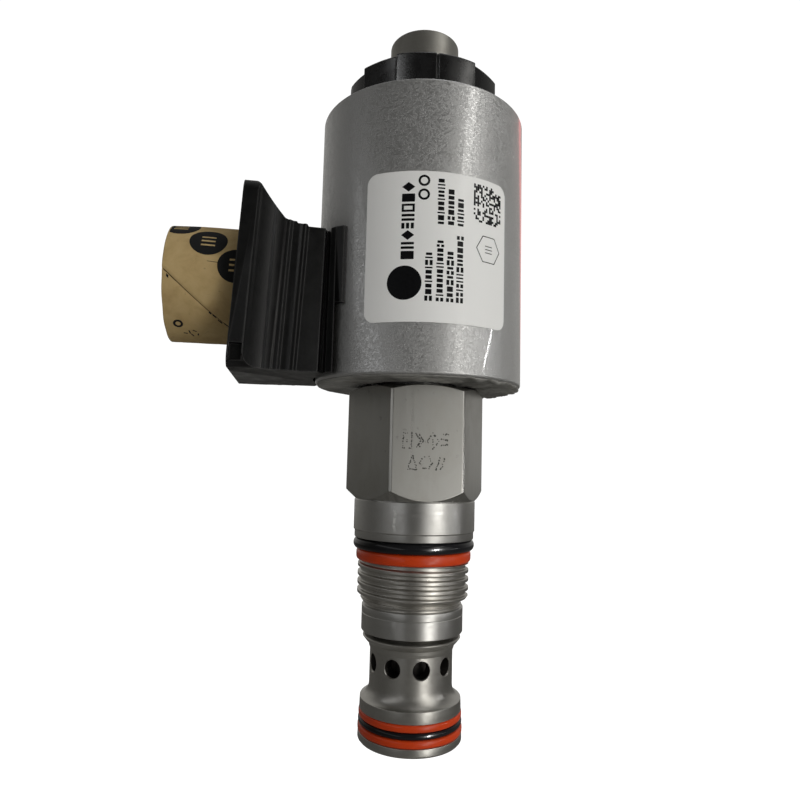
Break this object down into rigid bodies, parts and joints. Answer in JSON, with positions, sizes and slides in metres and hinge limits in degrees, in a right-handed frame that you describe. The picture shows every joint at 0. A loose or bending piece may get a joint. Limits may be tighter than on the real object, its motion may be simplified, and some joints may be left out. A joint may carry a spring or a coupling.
{
  "type": "solenoid cartridge valve",
  "caption": "Screw-in solenoid spool valve: round silver coil with side terminal and lobed nut on a hex body, threaded shank, orange and black seals and a floating nose with cross holes.",
  "frame": {"origin": "centre of the floating nose's bottom face, on the valve's axis", "axes": "+Z along the valve's axis from the nose to the coil nut, -X towards the electrical terminal, -Y towards the rating label"},
  "size_m": [0.0628, 0.0377, 0.1275],
  "materials": {
    "body_steel": "machined, satin",
    "nose_steel": "turned, satin",
    "seal_orange": "satin elastomer",
    "seal_black": "oiled",
    "tube_steel": "turned",
    "coil_silver": "bead-blasted silver",
    "resin_dark": "cast, lumpy",
    "nut_plastic": "moulded, semi-gloss",
    "terminal_plastic": "moulded, dusty",
    "kraft_paper": "spiral wound",
    "label_white": "glossy film",
    "spool_steel": "ground",
    "spring_steel": "drawn wire",
    "soft_iron": "turned",
    "bronze": "turned",
    "bobbin_plastic": "moulded",
    "copper_wire": "enamelled winding",
    "tin_plate": "tinned",
    "brass": "turned"
  },
  "bodies": {
    "cartridge": {"valve_body": "body_steel", "body_backup_ring": "seal_orange", "body_o_ring": "seal_black", "nose_retaining_wire": "spring_steel", "pole_piece": "soft_iron", "pole_o_ring": "seal_black", "nonmagnetic_ring": "bronze", "guide_tube": "tube_steel", "tube_end_plug": "tube_steel", "plug_o_ring": "seal_black", "override_o_ring": "seal_black"},
    "override": {"override_pin": "spool_steel"},
    "plunger": {"armature": "soft_iron"},
    "pin": {"push_pin": "spool_steel"},
    "nose": {"nose_sleeve": "nose_steel", "nose_backup_lower": "seal_orange", "nose_o_ring": "seal_black", "nose_backup_upper": "seal_orange", "spring_seat": "spool_steel", "return_spring": "spring_steel"},
    "spool": {"spool": "spool_steel"},
    "coil": {"coil_shell": "coil_silver", "coil_bobbin": "bobbin_plastic", "coil_winding": "copper_wire", "coil_flux_washer": "soft_iron", "coil_potting": "resin_dark", "coil_lower_seal": "seal_black", "rating_label": "label_white", "terminal_housing": "terminal_plastic", "contact_blade_a": "tin_plate", "contact_blade_b": "tin_plate", "earth_blade": "tin_plate", "terminal_insert": "brass"},
    "guard": {"terminal_guard": "kraft_paper"},
    "nut_seal": {"nut_seal_ring": "seal_black"},
    "nut": {"coil_nut": "nut_plastic"}
  },
  "joints": [
    {"name": "armature_slide", "type": "slide", "parent": "cartridge", "child": "plunger", "axis": [0, 0, -1], "range_m": [0, 0.0028], "stiffness_N_per_m": 1500, "springref_m": -0.004},
    {"name": "push_pin_slide", "type": "slide", "parent": "cartridge", "child": "pin", "axis": [0, 0, -1], "range_m": [0, 0.0028]},
    {"name": "override_slide", "type": "slide", "parent": "cartridge", "child": "override", "axis": [0, 0, -1], "range_m": [0, 0.0028]},
    {"name": "nose_swivel", "type": "hinge", "parent": "cartridge", "child": "nose", "pos_m": [0, 0, 0.027], "axis": [0, 0, 1], "continuous": true},
    {"name": "spool_slide", "type": "slide", "parent": "nose", "child": "spool", "axis": [0, 0, -1], "range_m": [0, 0.0028], "deforming": ["return_spring"]},
    {"name": "coil_swivel", "type": "hinge", "parent": "cartridge", "child": "coil", "pos_m": [0, 0, 0.085], "axis": [0, 0, 1], "continuous": true},
    {"name": "guard_pull", "type": "slide", "parent": "coil", "child": "guard", "axis": [-1, 0, 0], "range_m": [0, 0.03]},
    {"name": "nut_lift", "type": "slide", "parent": "cartridge", "child": "nut_seal", "axis": [0, 0, 1], "range_m": [0, 0.012]},
    {"name": "nut_turn", "type": "hinge", "parent": "nut_seal", "child": "nut", "pos_m": [0, 0, 0.1144], "axis": [0, 0, 1], "range_deg": [0, 4320]}
  ],
  "couplings": [
    {"joint": "push_pin_slide", "follows": "armature_slide", "ratio": 1},
    {"joint": "spool_slide", "follows": "armature_slide", "ratio": 1},
    {"joint": "override_slide", "follows": "armature_slide", "ratio": 1},
    {"joint": "nut_turn", "follows": "nut_lift", "rad_per_m": 6283.2}
  ]
}
